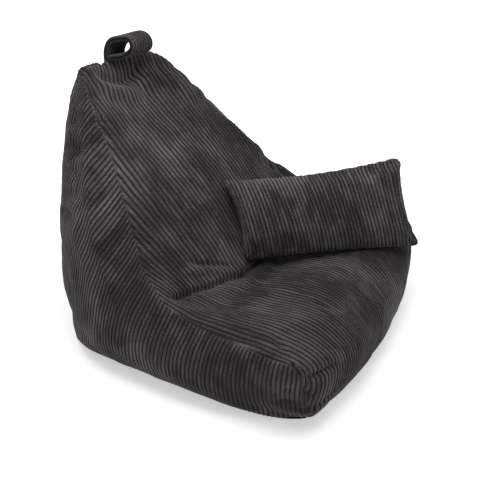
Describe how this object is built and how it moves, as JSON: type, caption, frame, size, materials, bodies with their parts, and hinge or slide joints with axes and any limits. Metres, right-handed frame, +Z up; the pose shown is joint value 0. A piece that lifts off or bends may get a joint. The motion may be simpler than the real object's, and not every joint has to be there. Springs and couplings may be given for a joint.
{
  "type": "bean bag chair",
  "caption": "Lounge bean bag chair in jumbo corduroy with a shaped seat and backrest, a carry handle at the top edge and a loose matching cushion.",
  "frame": {"origin": "on the floor under the bag, on its mid-plane, midway between its front and rear faces", "axes": "+Z up, -Y the way the sitter faces, +X to the sitter's left"},
  "size_m": [1.026, 1.0549, 0.931],
  "materials": {
    "corduroy": "matte",
    "lining": "matte",
    "fill": "matte",
    "zip_tape": "matte",
    "zip_teeth": "satin",
    "zip_slider": "satin"
  },
  "bodies": {
    "bag": {"seat_back_panel": "corduroy", "rear_panel": "corduroy", "side_panel_right": "corduroy", "side_panel_left": "corduroy", "base_panel": "corduroy", "liner_front": "lining", "liner_rear": "lining", "liner_side_right": "lining", "liner_side_left": "lining", "liner_base": "lining", "bead_fill": "fill", "base_zip_tapes": "zip_tape", "base_zip_teeth": "zip_teeth", "base_zip_stops": "zip_teeth"},
    "base_zip_slider": {"base_zip_slider": "zip_slider"},
    "handle": {"handle_loop": "corduroy"},
    "cushion": {"cushion_front_panel": "corduroy", "cushion_back_panel": "corduroy", "cushion_pad": "lining", "cushion_zip_tapes": "zip_tape", "cushion_zip_teeth": "zip_teeth", "cushion_zip_stops": "zip_teeth"},
    "cushion_zip_slider": {"cushion_zip_slider": "zip_slider"}
  },
  "joints": [
    {"name": "handle_fold", "type": "hinge", "parent": "bag", "child": "handle", "pos_m": [0, 0.464, 0.84435], "axis": [-1, 0, 0], "range_deg": [0, 75]},
    {"name": "cushion_lift", "type": "slide", "parent": "bag", "child": "cushion", "axis": [0, 0, 1], "range_m": [0, 0.4]},
    {"name": "base_zip_run", "type": "slide", "parent": "bag", "child": "base_zip_slider", "axis": [1, 0, 0], "range_m": [0, 0.461]},
    {"name": "cushion_zip_run", "type": "slide", "parent": "cushion", "child": "cushion_zip_slider", "axis": [0.6017, -0.7985, 0.0175], "range_m": [0, 0.281]}
  ]
}
